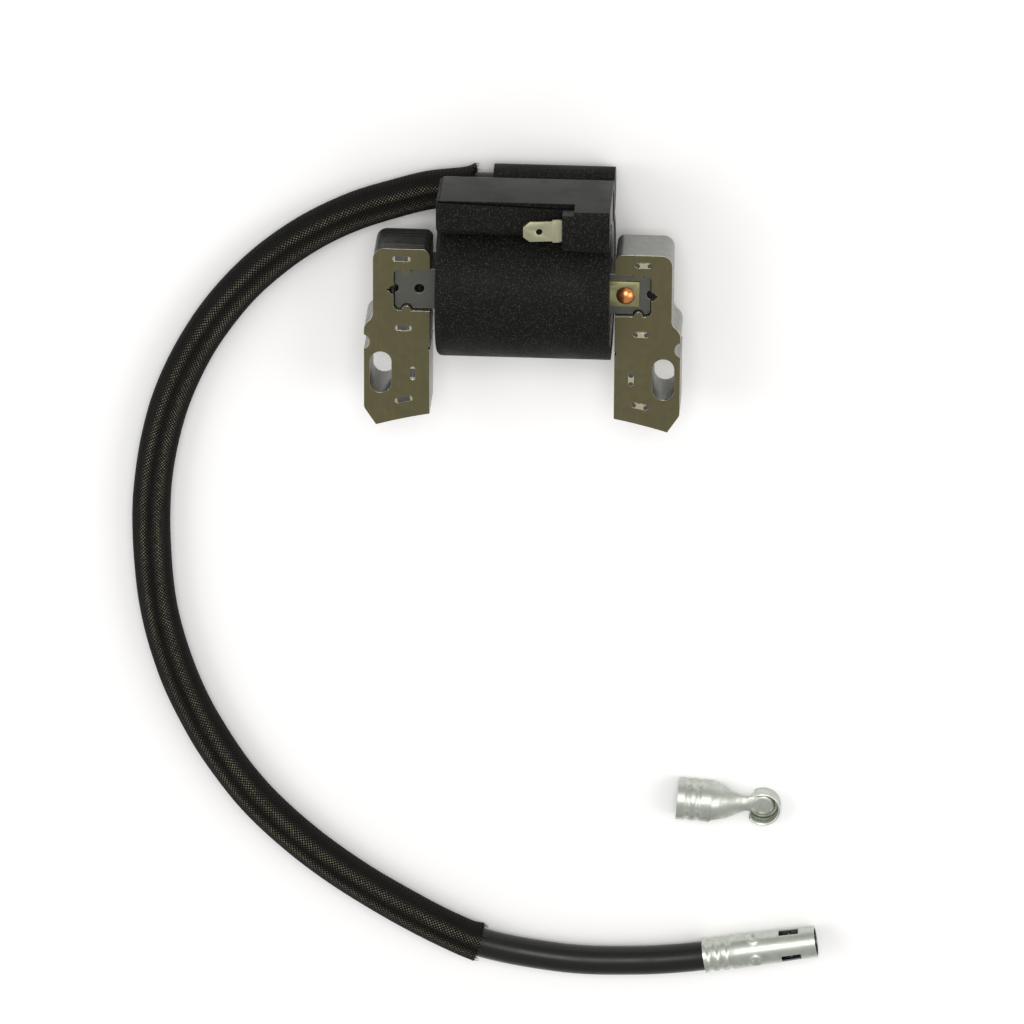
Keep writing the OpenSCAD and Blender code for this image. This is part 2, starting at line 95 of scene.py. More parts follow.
class CoilSizes(PropertyGroup):
    lead_diameter: length("Lead diameter", 7, "Outside diameter of the high-tension lead")
    sleeve_diameter: length("Sleeve diameter", 9.2, "Outside diameter of the braided sleeve")
    sleeve_bore: length("Sleeve bore", 7.6, "Inside diameter of the braided sleeve")
    sheet: length("Terminal sheet", 0.45, "Sheet thickness of both plug terminals")
    plate_gap: length("Lamination gap", 0.012, "Gap between two laminations")
    plate_edge: length("Lamination edge", 0.045, "Rounding of each lamination's edges")
    face_edge: length("Outer edge", 0.16, "Rounding of the outermost lamination's edges")
    leg_plates: IntProperty(name="Leg laminations", default=20, min=2, max=60,
                            description="Number of laminations in each leg")
    bar_plates: IntProperty(name="Bar laminations", default=16, min=2, max=60,
                            description="Number of laminations in the core bar")
    case_edge: length("Case edge", 0.35, "Rounding of the moulded case's edges")
    case_end: length("Case end rounding", 1.4, "Rounding of the closed end of the case")
    yarns: IntProperty(name="Braid yarns", default=34, min=8, max=120,
                       description="Number of yarn crossings round the sleeve")


class CoilColours(PropertyGroup):
    case: colour("Case", (0.0042, 0.0042, 0.0038), "Moulded case")
    plating: colour("Leg plating", (0.165, 0.147, 0.080), "Olive plating of the legs")
    bar: colour("Core bar", (0.14, 0.14, 0.125), "Bare steel of the core bar")
    cut: colour("Cut edges", (0.32, 0.32, 0.30), "Bare cut edges of the leg laminations")
    tinned: colour("Tinned brass", (0.52, 0.51, 0.34), "Stop blade")
    strip: colour("Ground strip", (0.33, 0.32, 0.17), "Plated ground tab")
    copper: colour("Copper", (0.85, 0.34, 0.12), "Ground rivet")
    braid: colour("Braid", (0.0045, 0.004, 0.003), "Yarn of the sleeve")
    rubber: colour("Lead", (0.007, 0.007, 0.0065), "Jacket of the lead")
    zinc: colour("Zinc", (0.56, 0.59, 0.53), "Plating of the plug terminals")
    resin: colour("Resin", (0.03, 0.032, 0.036), "Potting resin")
    floor: colour("Floor", (0.93, 0.93, 0.93), "Studio floor")


class CoilStage(PropertyGroup):
    lens: FloatProperty(name="Lens", description="Focal length on a 36 mm sensor", default=325.8,
                        min=20, max=900, subtype="DISTANCE_CAMERA")
    distance: FloatProperty(name="Distance", description="Camera to target", default=2.2,
                            min=0.2, unit="LENGTH")
    roll: FloatProperty(name="Roll", description="Turn of the camera about its line of sight",
                        default=math.radians(0.37), unit="ROTATION")
    key: FloatProperty(name="Top light", description="Power of the softbox behind the camera",
                       default=26, min=0, unit="POWER")
    side: FloatProperty(name="Side lights", description="Power of each softbox at the sides",
                        default=4.5, min=0, unit="POWER")
    sky: FloatProperty(name="Surroundings", description="Brightness of the white surroundings",
                       default=0.56, min=0, max=4)


# ---- Working with operators ----

def pick_none():
    if bpy.context.object and bpy.context.object.mode != "OBJECT":
        bpy.ops.object.mode_set(mode="OBJECT")
    bpy.ops.object.select_all(action="DESELECT")


def pick(*objects):
    """Selects these objects alone and makes the first one active."""
    pick_none()
    for obj in objects:
        obj.select_set(True)
    bpy.context.view_layer.objects.active = objects[0]


def edit(obj):
    pick(obj)
    bpy.ops.object.mode_set(mode="EDIT")
    bpy.ops.mesh.select_mode(type="VERT")
    bpy.ops.mesh.select_all(action="DESELECT")


def done():
    bpy.ops.object.mode_set(mode="OBJECT")


def select(obj, kind, test):
    """In edit mode, selects the faces, edges or verts that pass the test, and counts them."""
    bpy.ops.mesh.select_mode(type={"verts": "VERT", "edges": "EDGE", "faces": "FACE"}[kind])
    bpy.ops.mesh.select_all(action="DESELECT")
    shape = bmesh.from_edit_mesh(obj.data)
    hits = 0
    for element in getattr(shape, kind):
        if test(element):
            element.select_set(True)
            hits += 1
    bmesh.update_edit_mesh(obj.data)
    return hits


def middle(edge):
    return (edge.verts[0].co + edge.verts[1].co) / 2


def sharp(edge, degrees):
    return len(edge.link_faces) == 2 and edge.calc_face_angle(0) > math.radians(degrees)


def placed(name, mesh):
    """A new object with this mesh, in the scene."""
    obj = bpy.data.objects.new(name, mesh)
    bpy.context.scene.collection.objects.link(obj)
    return obj


def cad_copy(node, name):
    """A merged copy of a CAD node's mesh, ready to be worked on."""
    obj = placed(name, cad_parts[node].data.copy())
    obj.data.materials.clear()
    pick(obj)
    if obj.data.has_custom_normals:
        bpy.ops.mesh.customdata_custom_splitnormals_clear()
    edit(obj)
    bpy.ops.mesh.select_all(action="SELECT")
    bpy.ops.mesh.remove_doubles(threshold=2e-6)
    bpy.ops.mesh.dissolve_limited(angle_limit=math.radians(0.6))
    done()
    return obj


def bevel(obj, width, segments, degrees):
    pick(obj)
    finish = obj.modifiers.new("Edges", "BEVEL")
    finish.width, finish.segments = width, segments
    finish.limit_method, finish.angle_limit = "ANGLE", math.radians(degrees)
    finish.harden_normals = False
    bpy.ops.object.modifier_apply(modifier=finish.name)


def smooth(obj, degrees):
    pick(obj)
    bpy.ops.object.shade_smooth_by_angle(angle=math.radians(degrees))


def dress(obj, *materials):
    obj.data.materials.clear()
    for material in materials:
        obj.data.materials.append(material)


def settle(obj, body, slot, *nodes):
    """Rides on its body and stands for its CAD nodes, which it hides. The slot is not used."""
    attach(obj, body)
    if nodes:
        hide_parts(*nodes)
    return obj


def joined(name, objects):
    pick(*objects)
    if len(objects) > 1:
        bpy.ops.object.join()
    objects[0].name = name
    return objects[0]


# ---- Node groups and materials ----

def add(tree, kind, values=None, **settings):
    """A shader node with its settings, and its inputs set or linked by name or number."""
    node = tree.nodes.new(kind)
    for key, value in settings.items():
        setattr(node, key, value)
    for key, value in (values or {}).items():
        if isinstance(value, bpy.types.NodeSocket):
            tree.links.new(value, node.inputs[key])
        else:
            node.inputs[key].default_value = value
    return node


def calc(tree, operation, first, second=0.0, third=0.0):
    node = add(tree, "ShaderNodeMath", {0: first, 1: second, 2: third}, operation=operation)
    return node.outputs[0]


def ramp(tree, value, low, high, to_low=0.0, to_high=1.0):
    """Value from low..high taken smoothly to to_low..to_high."""
    node = add(tree, "ShaderNodeMapRange",
               {"Value": value, "From Min": low, "From Max": high, "To Min": to_low,
                "To Max": to_high}, interpolation_type="SMOOTHSTEP")
    return node.outputs[0]


def mix(tree, factor, first, second):
    node = add(tree, "ShaderNodeMix", {0: factor, 6: first, 7: second}, data_type="RGBA")
    return node.outputs[2]


def noise(tree, vector, scale, detail=3.0, roughness=0.5):
    node = add(tree, "ShaderNodeTexNoise", {"Vector": vector, "Scale": scale, "Detail": detail,
                                            "Roughness": roughness})
    return node.outputs["Fac"]


def group(name, inputs, outputs, build):
    """A node group with named float or vector inputs and named outputs."""
    tree = bpy.data.node_groups.new(name, "ShaderNodeTree")
    for label, kind, value in inputs:
        socket = tree.interface.new_socket(name=label, in_out="INPUT", socket_type=kind)
        if value is not None:
            socket.default_value = value
    for label, kind in outputs:
        tree.interface.new_socket(name=label, in_out="OUTPUT", socket_type=kind)
    source = tree.nodes.new("NodeGroupInput").outputs
    target = tree.nodes.new("NodeGroupOutput").inputs
    for label, socket in build(tree, source).items():
        tree.links.new(socket, target[label])
    return tree


NUMBER, VECTOR = "NodeSocketFloat", "NodeSocketVector"


def build_grain(tree, given):
    """Moulded or cast grain: a height, and a mask of scattered specks for painted glints."""
    place = given["Place"]
    fine = noise(tree, place, given["Scale"], 2.0, 0.6)
    cells = add(tree, "ShaderNodeTexVoronoi", {"Vector": place, "Scale": given["Scale"]},
                feature="F1")
    height = calc(tree, "MULTIPLY_ADD", cells.outputs["Distance"], -0.5, fine)
    pick_out = add(tree, "ShaderNodeSeparateColor", {0: cells.outputs["Color"]})
    glint = ramp(tree, pick_out.outputs[0], given["Rarity"], 1.0)
    near = ramp(tree, cells.outputs["Distance"], 0.42, 0.12)
    return {"Height": height, "Glint": calc(tree, "MULTIPLY", glint, near)}


def build_blotch(tree, given):
    """Slow uneven tone, from 0 to 1."""
    wide = noise(tree, given["Place"], given["Scale"], 4.0, 0.6)
    return {"Mask": ramp(tree, wide, given["Low"], given["High"])}


def build_scratch(tree, given):
    """Fine straight scratches in two directions, broken up along their length."""
    lines = []
    for turn, wide, long in ((0.35, 5200.0, 90.0), (1.95, 4300.0, 70.0)):
        place = add(tree, "ShaderNodeMapping", {"Vector": given["Place"],
                    "Rotation": (0.0, 0.0, turn), "Scale": (wide, long, long)}).outputs[0]
        streak = noise(tree, place, 0.35, 1.0, 0.4)
        lines.append(ramp(tree, streak, given["Rarity"], 0.78))
    gate = ramp(tree, noise(tree, given["Place"], 260.0, 2.0), 0.42, 0.62)
    return {"Mask": calc(tree, "MULTIPLY", calc(tree, "MAXIMUM", *lines), gate)}


def build_braid(tree, given):
    """Two sets of yarns that cross at a slant and pass over and under each other.
    The map's U counts crossings round the sleeve and V counts them along it."""
    parts = add(tree, "ShaderNodeSeparateXYZ", {0: given["Map"]}).outputs
    one = calc(tree, "ADD", parts[0], parts[1])
    two = calc(tree, "SUBTRACT", parts[0], parts[1])
    wave_one = calc(tree, "SINE", calc(tree, "MULTIPLY", one, math.pi))
    wave_two = calc(tree, "SINE", calc(tree, "MULTIPLY", two, math.pi))
    over = calc(tree, "GREATER_THAN", calc(tree, "MULTIPLY", wave_one, wave_two), 0.0)
    round_one = calc(tree, "ABSOLUTE", wave_one)
    round_two = calc(tree, "ABSOLUTE", wave_two)
    high = calc(tree, "ADD", calc(tree, "MULTIPLY", over, round_one),
                calc(tree, "MULTIPLY", calc(tree, "SUBTRACT", 1.0, over), round_two))
    both = calc(tree, "MULTIPLY", round_one, round_two)
    return {"Height": high, "Crown": calc(tree, "MULTIPLY", high, both)}


GROUPS = {}


def make_groups():
    place = ("Place", VECTOR, None)
    GROUPS["grain"] = group("Grain", [place, ("Scale", NUMBER, 2500.0), ("Rarity", NUMBER, 0.8)],
                            [("Height", NUMBER), ("Glint", NUMBER)], build_grain)
    GROUPS["blotch"] = group("Blotch", [place, ("Scale", NUMBER, 200.0), ("Low", NUMBER, 0.4),
                                        ("High", NUMBER, 0.65)], [("Mask", NUMBER)], build_blotch)
    GROUPS["scratch"] = group("Scratch", [place, ("Rarity", NUMBER, 0.64)], [("Mask", NUMBER)],
                              build_scratch)
    GROUPS["braid"] = group("Braid", [("Map", VECTOR, None)],
                            [("Height", NUMBER), ("Crown", NUMBER)], build_braid)


def use(tree, name, values):
    return add(tree, "ShaderNodeGroup", values, node_tree=GROUPS[name]).outputs


class Finish:
    """A material under way: its tree, its shader and its object coordinates."""

    def __init__(self, name, **sockets):
        self.material = bpy.data.materials.new(name)
        self.material.use_nodes = True
        self.tree = self.material.node_tree
        self.shader = self.tree.nodes["Principled BSDF"]
        for key, value in sockets.items():
            self.shader.inputs[key.replace("_", " ")].default_value = value
        self.place = add(self.tree, "ShaderNodeTexCoord").outputs["Object"]

    def put(self, socket, value):
        self.tree.links.new(value, self.shader.inputs[socket])

    def bump(self, height, distance):
        values = {"Height": height, "Distance": distance, "Strength": 1.0}
        return add(self.tree, "ShaderNodeBump", values).outputs[0]


def rgba(rgb, gain=1.0):
    return (*[min(1.0, c * gain) for c in rgb], 1.0)


def mottled_metal(name, rgb, rough, dark=0.86, light=1.1, grain=500.0, depth=0.000008,
                  scratches=0.5, spread=0.10):
    """Metal with an uneven tone, fine grain and a few scratches."""
    f = Finish(name, Metallic=1.0)
    t = f.tree
    tone = use(t, "blotch", {"Place": f.place, "Scale": grain, "Low": 0.35, "High": 0.68})["Mask"]
    wide = use(t, "blotch", {"Place": f.place, "Scale": 130.0, "Low": 0.3, "High": 0.7})["Mask"]
    lines = use(t, "scratch", {"Place": f.place, "Rarity": 0.62})["Mask"]
    base = mix(t, tone, rgba(rgb, dark), rgba(rgb, 1.0))
    base = mix(t, calc(t, "MULTIPLY", wide, 0.5), base, rgba(rgb, light))
    base = mix(t, calc(t, "MULTIPLY", lines, scratches), base, rgba(rgb, 1.7))
    f.put("Base Color", base)
    f.put("Roughness", ramp(t, tone, 0.0, 1.0, rough + spread, rough))
    height = calc(t, "MULTIPLY_ADD", lines, -0.6 * scratches, noise(t, f.place, 2400.0, 2.0))
    f.put("Normal", f.bump(height, depth))
    return f.material


def moulded(name, rgb, rough, grain, depth, shine=0.5, glint=0.0, rarity=0.8):
    """Moulded plastic with a spark-eroded grain, and painted glints: pale specks mixed into its
    colour here and there.
    """
    f = Finish(name)
    f.shader.inputs["Specular IOR Level"].default_value = shine
    t = f.tree
    marks = use(t, "grain", {"Place": f.place, "Scale": grain, "Rarity": rarity})
    tone = use(t, "blotch", {"Place": f.place, "Scale": 90.0, "Low": 0.3, "High": 0.7})["Mask"]
    base = mix(t, tone, rgba(rgb, 0.85), rgba(rgb, 1.15))
    if glint:
        # painted glints: pale specks in the base colour stand in for light caught by the grain's
        # facets
        base = mix(t, marks["Glint"], base, rgba((0.075, 0.072, 0.058), glint))
    f.put("Base Color", base)
    f.put("Roughness", ramp(t, tone, 0.0, 1.0, rough + 0.05, rough - 0.05))
    f.put("Normal", f.bump(marks["Height"], depth))
    return f.material


def plain_finish(name, rgb, rough, metallic=0.0, grain=1500.0, depth=0.00001):
    """Satin finish with a faint grain, for small and inner pieces."""
    f = Finish(name, Metallic=metallic, Roughness=rough)
    t = f.tree
    tone = use(t, "blotch", {"Place": f.place, "Scale": 400.0, "Low": 0.3, "High": 0.7})["Mask"]
    f.put("Base Color", mix(t, tone, rgba(rgb, 0.85), rgba(rgb, 1.1)))
    f.put("Normal", f.bump(noise(t, f.place, grain, 2.0), depth))
    return f.material


def floor_paper(rgb):
    f = Finish("floor_paper", Roughness=0.9)
    f.shader.inputs["Specular IOR Level"].default_value = 0.1
    tone = use(f.tree, "blotch", {"Place": f.place, "Scale": 6.0, "Low": 0.2, "High": 0.8})["Mask"]
    f.put("Base Color", mix(f.tree, tone, rgba(rgb, 0.985), rgba(rgb)))
    return f.material


def wound(name, rgb, pitch):
    """Enamelled wire laid turn beside turn along X."""
    f = Finish(name, Metallic=1.0, Roughness=0.35)
    t = f.tree
    along = add(t, "ShaderNodeSeparateXYZ", {0: f.place}).outputs[0]
    turn = calc(t, "ABSOLUTE", calc(t, "SINE", calc(t, "MULTIPLY", along, math.pi / pitch)))
    # painted shade: darker in the grooves between turns
    f.put("Base Color", mix(t, turn, rgba(rgb, 0.5), rgba(rgb, 1.0)))
    f.put("Normal", f.bump(turn, pitch * 0.5))
    return f.material


def braided(name, rgb):
    """Woven yarn on the piece's own map, with painted sheen: paler yarn crowns along two bands near
    the top.
    """
    f = Finish(name, Roughness=0.7)
    f.shader.inputs["Specular IOR Level"].default_value = 0.12
    t = f.tree
    uv = add(t, "ShaderNodeUVMap", uv_map="braid").outputs[0]
    yarn = use(t, "braid", {"Map": uv})
    worn = add(t, "ShaderNodeAttribute", attribute_name="worn").outputs["Fac"]
    patch = use(t, "blotch", {"Place": f.place, "Scale": 320.0, "Low": 0.3, "High": 0.62})["Mask"]
    fleck = ramp(t, noise(t, f.place, 1500.0, 2.0), 0.35, 0.6, 0.35)
    base = mix(t, patch, rgba(rgb, 0.7), rgba(rgb, 1.1))
    # painted sheen: the yarn crowns inside the two bands take a pale colour
    crown_sheen = calc(t, "MULTIPLY", ramp(t, yarn["Crown"], 0.35, 0.9), calc(t, "MULTIPLY", worn, fleck))
    base = mix(t, crown_sheen, base, (0.27, 0.25, 0.18, 1.0))
    f.put("Base Color", base)
    f.put("Normal", f.bump(yarn["Height"], 0.00022))
    return f.material


def make_materials(colours):
    make_groups()
    made = {
        "case": moulded("case_grain", colours.case, 0.6, 3000.0, 0.00005, 0.12, 0.9, 0.0),
        "case_smooth": moulded("case_smooth", colours.case, 0.42, 1500.0, 0.000012, 0.22),
        "resin": moulded("potting_resin", colours.resin, 0.28, 700.0, 0.00009),
        "plating": mottled_metal("olive_plating", colours.plating, 0.34, 0.92, 1.05, scratches=0.2),
        "cut": mottled_metal("cut_steel", colours.cut, 0.32, 0.96, 1.03, scratches=0.1),
        # bright plating colour for the outer edges of the end laminations: a painted highlight
        "edge": mottled_metal("plating_edge", (0.62, 0.59, 0.44), 0.24, scratches=0.2),
        "bar": mottled_metal("bar_steel", colours.bar, 0.36, 0.93, 1.04, scratches=0.1),
        "tinned": mottled_metal("tinned_brass", colours.tinned, 0.26, 0.8, 1.1, 1300.0),
        "strip": mottled_metal("ground_strip", colours.strip, 0.3, 0.85, 1.1, scratches=0.2),
        "copper": mottled_metal("copper", colours.copper, 0.20, 0.85, 1.1, scratches=0.2),
        "zinc": mottled_metal("zinc_plating", colours.zinc, 0.33, 0.78, 1.05, 600.0, 0.000004,
                              scratches=0.1),
        "spring": mottled_metal("spring_steel", (0.13, 0.13, 0.13), 0.35),
        "rubber": moulded("lead_rubber", colours.rubber, 0.36, 500.0, 0.000015, 0.3),
        "braid": braided("sleeve_braid", colours.braid),
        "fray": plain_finish("sleeve_fray", (0.045, 0.037, 0.026), 0.7),
        "bobbin": plain_finish("bobbin_plastic", (0.62, 0.58, 0.48), 0.5),
        "film": plain_finish("insulation_film", (0.55, 0.42, 0.16), 0.3),
        "board": plain_finish("circuit_board", (0.05, 0.20, 0.08), 0.4),
        "chip": plain_finish("component_black", (0.02, 0.02, 0.022), 0.5),
        "resistor": plain_finish("resistor_body", (0.55, 0.42, 0.28), 0.5),
        "green": plain_finish("wire_green", (0.05, 0.22, 0.06), 0.4),
        "primary": wound("primary_wire", (0.62, 0.27, 0.10), 0.00045),
        "secondary": wound("secondary_wire", (0.60, 0.24, 0.09), 0.00012),
        "enamel": plain_finish("enamelled_wire", (0.62, 0.27, 0.10), 0.35, 1.0),
    }
    return made


MATERIALS = {}


# ---- Lines and tubes ----

def curve_through(points, per_span):
    """Points on a smooth line through the given ones."""
    points = [Vector(p) * MM for p in points]
    ends = [points[0] * 2 - points[1], *points, points[-1] * 2 - points[-2]]
    line = []
    for i in range(len(points) - 1):
        a, b, c, d = ends[i:i + 4]
        for k in range(per_span):
            t = k / per_span
            line.append(0.5 * (2 * b + (c - a) * t + (2 * a - 5 * b + 4 * c - d) * t * t
                               + (3 * b - a - 3 * c + d) * t ** 3))
    line.append(points[-1])
    return line


def line_length(line):
    return sum((b - a).length for a, b in zip(line, line[1:]))


def evenly(line, step):
    """The same line with its points a step apart."""
    total = line_length(line)
    count = max(2, round(total / step))
    gap, out, left = total / count, [line[0].copy()], 0.0
    for a, b in zip(line, line[1:]):
        span = (b - a).length
        while left + span >= gap * (1 - 1e-6) and len(out) < count:
            a = a + (b - a) * ((gap - left) / span)
            out.append(a.copy())
            span, left = (b - a).length, 0.0
        left += span
    out.append(line[-1].copy())
    return out


def sides_of(line):
    """For each point of a line: its direction, the way across it and the way up."""
    frames = []
    for i, here in enumerate(line):
        ahead = (line[min(i + 1, len(line) - 1)] - line[max(i - 1, 0)]).normalized()
        across = Vector((0, 0, 1)).cross(ahead).normalized()
        frames.append((ahead, across, ahead.cross(across)))
    return frames


def tube(name, line, radius, count, inner=None, turns=1.0, pitch=1.0, worn=None):
    """A tube along a line. radius and inner give the distance from the line at (index, angle).
    Its map counts turns round it and pitches along it."""
    frames = sides_of(line)
    shape = bmesh.new()
    uv = shape.loops.layers.uv.new("braid")
    mark = shape.verts.layers.float.new("worn")

    def ring(i, distance):
        ahead, across, up = frames[i]
        made = []
        for k in range(count):
            angle = 2 * math.pi * k / count
            r = distance(i, angle)
            side, rise = r * math.sin(angle), r * math.cos(angle)
            vert = shape.verts.new(line[i] + across * side + up * rise)
            vert[mark] = worn(i, angle) if worn else 0.0
            made.append(vert)
        return made

    def skin(rings, along, flip):
        for i, (a, b) in enumerate(zip(rings, rings[1:])):
            for k in range(count):
                n = (k + 1) % count
                quad = [a[k], a[n], b[n], b[k]]
                where = [(k, i), (k + 1, i), (k + 1, i + 1), (k, i + 1)]
                if flip:
                    quad, where = quad[::-1], where[::-1]
                face = shape.faces.new(quad)
                face.smooth = True
                for loop, (u, v) in zip(face.loops, where):
                    loop[uv].uv = (u / count * turns, along[v] / pitch)

    along = [0.0]
    for a, b in zip(line, line[1:]):
        along.append(along[-1] + (b - a).length)
    outer = [ring(i, radius) for i in range(len(line))]
    skin(outer, along, False)
    if inner:
        hollow = [ring(i, inner) for i in range(len(line))]
        skin(hollow, along, True)
        for a, b, flip in ((outer[0], hollow[0], True), (outer[-1], hollow[-1], False)):
            for k in range(count):
                n = (k + 1) % count
                quad = [a[k], a[n], b[n], b[k]]
                shape.faces.new(quad[::-1] if flip else quad)
    else:
        shape.faces.new(outer[0])
        shape.faces.new(outer[-1][::-1])
    bmesh.ops.recalc_face_normals(shape, faces=shape.faces)
    mesh = bpy.data.meshes.new(name)
    shape.to_mesh(mesh)
    shape.free()
    return placed(name, mesh)


# ---- Operators ----

class COIL_OT_stage(Operator):
    """Make the camera, the studio floor and the soft lights"""
    bl_idname = "coil.stage"
    bl_label = "Stage"

    def execute(self, context):
        stage, colours = context.scene.coil_stage, context.scene.coil_colours
        target = Vector((-3.3, -65.7, 0)) * MM
        toward = Vector((0.0503, 0.4082, 0.9115)).normalized()
        right = Vector((0, 1, 0)).cross(toward).normalized()
        up = toward.cross(right)
        turn_right = right * math.cos(stage.roll) + up * math.sin(stage.roll)
        turn_up = up * math.cos(stage.roll) - right * math.sin(stage.roll)
        pick_none()
        bpy.ops.object.camera_add()
        camera = context.object
        camera.name = "camera"
        camera.matrix_world = Matrix.Translation(target + toward * stage.distance) @ Matrix(
            (turn_right, turn_up, toward)).transposed().to_4x4()
        camera.data.lens, camera.data.sensor_width = stage.lens, 36
        camera.data.clip_start, camera.data.clip_end = 0.05, 20
        context.scene.camera = camera
        above = tuple(target + toward * 2.6)
        for name, place, size, power, tint in (
                ("left_light", (-1.0, 0.15, 0.95), 0.8, stage.side, (1, 0.99, 0.97)),
                ("right_light", (1.05, 0.0, 0.95), 0.8, stage.side, (1, 0.99, 0.97)),
                ("top_light", above, 1.1, stage.key, (1, 0.98, 0.95))):
            pick_none()
            bpy.ops.object.light_add(type="AREA", location=place)
            light = context.object
            light.name = name
            aim = Vector((0, -0.06, 0)) - Vector(place)
            light.rotation_euler = aim.to_track_quat("-Z", "Y").to_euler()
            light.data.size, light.data.energy, light.data.color = size, power, tint
        world = bpy.data.worlds.new("studio")
        world.use_nodes = True
        world.node_tree.nodes["Background"].inputs[0].default_value = (1, 1, 1, 1)
        world.node_tree.nodes["Background"].inputs[1].default_value = stage.sky
        context.scene.world = world
        context.scene.view_settings.view_transform = "Standard"
        pick_none()
        bpy.ops.mesh.primitive_plane_add(size=6, location=(0, 0, -0.0001))
        floor = context.object
        floor.name = "floor"
        dress(floor, floor_paper(colours.floor))
        return {"FINISHED"}


class COIL_OT_lead(Operator):
    """Make the high-tension lead and its braided sleeve"""
    bl_idname = "coil.lead"
    bl_label = "Lead and sleeve"

    def execute(self, context):
        sizes = context.scene.coil_sizes
        rng = random.Random(7)
        line = evenly(curve_through(ROUTE, 12), 2.2 * MM)
        radius = sizes.lead_diameter / 2
        lead = tube("lead", line, lambda i, a: radius, 40)
        dress(lead, MATERIALS["rubber"])
        settle(lead, BODY, "lead_rubber", "lead_insulation")

        first, last = SLEEVE_SPAN
        span = evenly(curve_through(ROUTE[first - 1:last + 2], 16)[16:-16], 0.75 * MM)
        count, end = 72, len(span) - 1
        wander = [rng.uniform(-1, 1) for _ in range(end // 12 + 3)]

        def drift(i, shift=0):
            k, t = divmod((i + shift) / 12.0, 1.0)
            k = int(k) % (len(wander) - 1)
            t = t * t * (3 - 2 * t)
            return wander[k] * (1 - t) + wander[k + 1] * t

        def flare(i, a):
            near = math.exp(-min(i, end - i) * 0.47)
            lifted = 0.8 * max(0.0, -math.sin(a)) if i < end / 2 else 0.0
            return (0.35 + lifted) * MM * near

        def folded(angle, at, width):
            gap = (angle - at + math.pi) % (2 * math.pi) - math.pi
            return math.exp(-(gap / width) ** 2)

        def outside(i, a):
            r = sizes.sleeve_diameter / 2 - 0.1 * MM
            r -= 0.44 * MM * folded(a, math.radians(-3) + 0.08 * drift(i, 5), 0.12)
            r -= 0.14 * MM * folded(a, math.radians(50) + 0.08 * drift(i, 31), 0.16)
            r -= 0.14 * MM * folded(a, math.radians(-50) + 0.08 * drift(i, 47), 0.16)
            r += 0.05 * MM * drift(i) * math.cos(2 * a)
            r += flare(i, a)
            rest = span[i].z - 0.04 * MM
            return min(r, rest / -math.cos(a)) if math.cos(a) < -0.3 else r

        def inside(i, a):
            return sizes.sleeve_bore / 2 + 0.6 * flare(i, a)

        # painted sheen: two bands either side of the top, where the sleeve faces up
        def worn(i, a):
            bands = folded(a, math.radians(-23), 0.17) + folded(a, math.radians(25), 0.22)
            return min(1.0, 0.02 + bands * (0.85 + 0.15 * drift(i, 60)))

        pitch = math.pi * sizes.sleeve_diameter / sizes.yarns
        sleeve = tube("sleeve", span, outside, count, inside, sizes.yarns, pitch, worn)
        dress(sleeve, MATERIALS["braid"])
        settle(sleeve, BODY, "sleeve_braid", "lead_sleeve")

        frames = sides_of(span)
        hairs = []
        for i, out in ((0, -1), (end, 1)):
            ahead, across, up = frames[i]
            for _ in range(34):
                angle = rng.uniform(0, 2 * math.pi)
                away = across * math.sin(angle) + up * math.cos(angle)
                r = outside(i, angle) - rng.uniform(0.15, 0.7) * MM
                root = span[i] + away * r - ahead * (out * 0.4 * MM)
                reach = rng.uniform(0.5, 1.5) * MM
                bend = across * rng.uniform(-0.4, 0.4) * MM + away * rng.uniform(-0.5, 0.3) * MM
                tip = root + ahead * (out * (reach + 0.4 * MM)) + bend
                if tip.z < 0.12 * MM:
                    continue
                middle_point = (root + tip) / 2 + away * 0.12 * MM
                hairs.append(tube("fray", [root, middle_point, tip],
                                  lambda i, a: (0.075, 0.06, 0.03)[i] * MM, 5))
        frays = joined("sleeve_frays", hairs)
        dress(frays, MATERIALS["fray"])
        settle(frays, BODY, "sleeve_braid")
        return {"FINISHED"}


